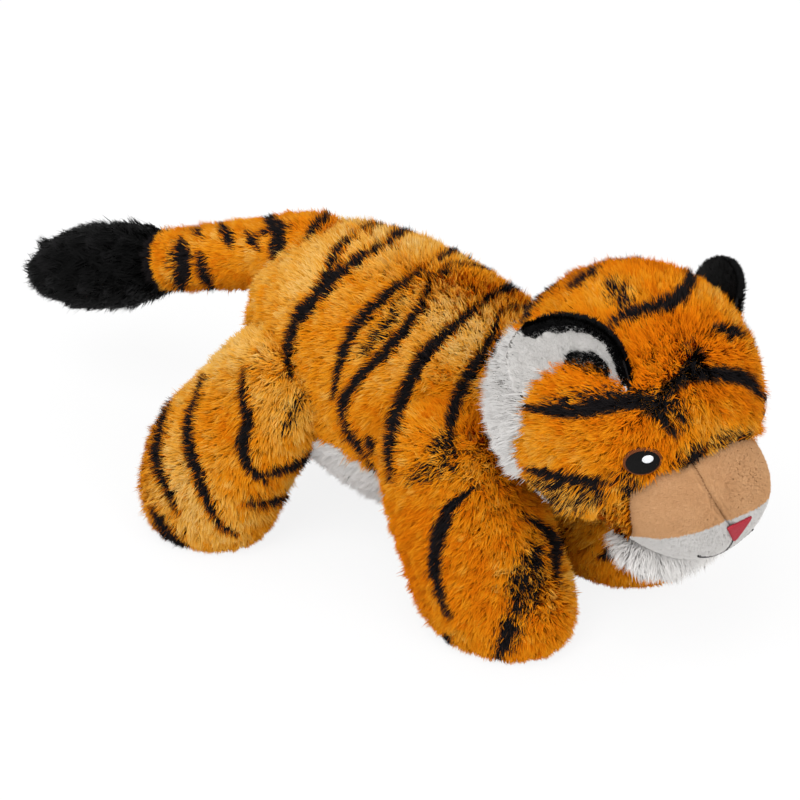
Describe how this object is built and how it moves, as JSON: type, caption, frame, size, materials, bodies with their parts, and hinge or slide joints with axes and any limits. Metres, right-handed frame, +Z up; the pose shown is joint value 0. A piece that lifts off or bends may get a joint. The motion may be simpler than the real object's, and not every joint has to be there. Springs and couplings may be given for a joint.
{
  "type": "stuffed tiger",
  "caption": "Stuffed tiger standing on short legs, in striped orange pile with a white belly and ruff, embroidered eyes, a short-pile muzzle, folding ears and a black-tipped tail.",
  "frame": {"origin": "on the floor under the middle of the whole length and of the stance", "axes": "+X towards the nose, +Y to the tiger's left, +Z up"},
  "size_m": [0.4686, 0.1802, 0.1968],
  "materials": {
    "orange_fur": "long-pile fur fabric with printed black stripes",
    "white_fur": "long-pile fur fabric",
    "black_fur": "long-pile fur fabric",
    "tan_plush": "short-pile plush",
    "white_plush": "short-pile plush",
    "black_plush": "short-pile plush",
    "stuffing": "polyester fibre filling",
    "brown_thread": "satin embroidery",
    "black_thread": "satin embroidery",
    "white_thread": "satin embroidery",
    "rose_thread": "satin embroidery"
  },
  "bodies": {
    "body": {"belly_panel": "white_fur", "flank_panel_left": "orange_fur", "flank_panel_right": "orange_fur", "torso_stuffing": "stuffing"},
    "head": {"chin_panel": "white_fur", "chin_tuft": "white_fur", "crown_gusset": "orange_fur", "eye_highlight_left": "white_thread", "eye_highlight_right": "white_thread", "eye_pupil_left": "black_thread", "eye_pupil_right": "black_thread", "eye_rim_left": "brown_thread", "eye_rim_right": "brown_thread", "face_panel_left": "orange_fur", "face_panel_right": "orange_fur", "head_stuffing": "stuffing", "mouth_stitch": "black_thread", "muzzle_lower": "white_plush", "muzzle_top_left": "tan_plush", "muzzle_top_right": "tan_plush", "nose_patch": "rose_thread", "ruff_left": "white_fur", "ruff_right": "white_fur"},
    "ear_left": {"ear_back_left": "black_plush", "ear_lining_left": "white_plush"},
    "ear_right": {"ear_back_right": "black_plush", "ear_lining_right": "white_plush"},
    "front_left_leg": {"front_left_leg_cover": "orange_fur", "front_left_leg_stuffing": "stuffing", "front_left_paw_sole": "tan_plush"},
    "front_right_leg": {"front_right_leg_cover": "orange_fur", "front_right_leg_stuffing": "stuffing", "front_right_paw_sole": "tan_plush"},
    "neck": {"neck_stuffing": "stuffing"},
    "rear_left_leg": {"rear_left_leg_cover": "orange_fur", "rear_left_leg_stuffing": "stuffing", "rear_left_paw_sole": "tan_plush"},
    "rear_right_leg": {"rear_right_leg_cover": "orange_fur", "rear_right_leg_stuffing": "stuffing", "rear_right_paw_sole": "tan_plush"},
    "tail": {"tail_sleeve": "orange_fur", "tail_stuffing": "stuffing"},
    "tail_tip": {"tail_tip_cover": "black_fur", "tail_tip_stuffing": "stuffing"}
  },
  "joints": [
    {"name": "head_turn", "type": "hinge", "parent": "body", "child": "neck", "pos_m": [0.10111, 0.005, 0.114], "axis": [0, 0, 1], "range_deg": [-6, 34], "stiffness_Nm_per_rad": 4},
    {"name": "head_nod", "type": "hinge", "parent": "neck", "child": "head", "pos_m": [0.10111, 0.005, 0.114], "axis": [0.2419, 0.9703, 0], "range_deg": [-14, 5], "stiffness_Nm_per_rad": 4},
    {"name": "front_right_leg_swing", "type": "hinge", "parent": "body", "child": "front_right_leg", "pos_m": [0.07911, -0.037, 0.078], "axis": [0, 1, 0], "range_deg": [-12, 15], "stiffness_Nm_per_rad": 6},
    {"name": "front_left_leg_swing", "type": "hinge", "parent": "body", "child": "front_left_leg", "pos_m": [0.07911, 0.047, 0.078], "axis": [0, 1, 0], "range_deg": [-12, 15], "stiffness_Nm_per_rad": 6},
    {"name": "rear_right_leg_swing", "type": "hinge", "parent": "body", "child": "rear_right_leg", "pos_m": [-0.03089, -0.037, 0.084], "axis": [0, 1, 0], "range_deg": [-15, 15], "stiffness_Nm_per_rad": 6},
    {"name": "rear_left_leg_swing", "type": "hinge", "parent": "body", "child": "rear_left_leg", "pos_m": [-0.03089, 0.047, 0.084], "axis": [0, 1, 0], "range_deg": [-15, 15], "stiffness_Nm_per_rad": 6},
    {"name": "tail_lift", "type": "hinge", "parent": "body", "child": "tail", "pos_m": [-0.04289, 0.005, 0.14], "axis": [0, 1, 0], "range_deg": [-8, 25], "stiffness_Nm_per_rad": 2},
    {"name": "tail_tip_bend", "type": "hinge", "parent": "tail", "child": "tail_tip", "pos_m": [-0.13999, 0.005, 0.10273], "axis": [0, 0, 1], "range_deg": [-25, 25], "stiffness_Nm_per_rad": 0.5},
    {"name": "ear_right_fold", "type": "hinge", "parent": "head", "child": "ear_right", "pos_m": [0.1595, -0.05594, 0.15988], "axis": [0.9348, 0.1962, 0.2961], "range_deg": [-15, 20], "stiffness_Nm_per_rad": 0.1},
    {"name": "ear_left_fold", "type": "hinge", "parent": "head", "child": "ear_left", "pos_m": [0.16908, 0.03855, 0.14896], "axis": [-0.6996, 0.4299, -0.5708], "range_deg": [-15, 20], "stiffness_Nm_per_rad": 0.1}
  ]
}
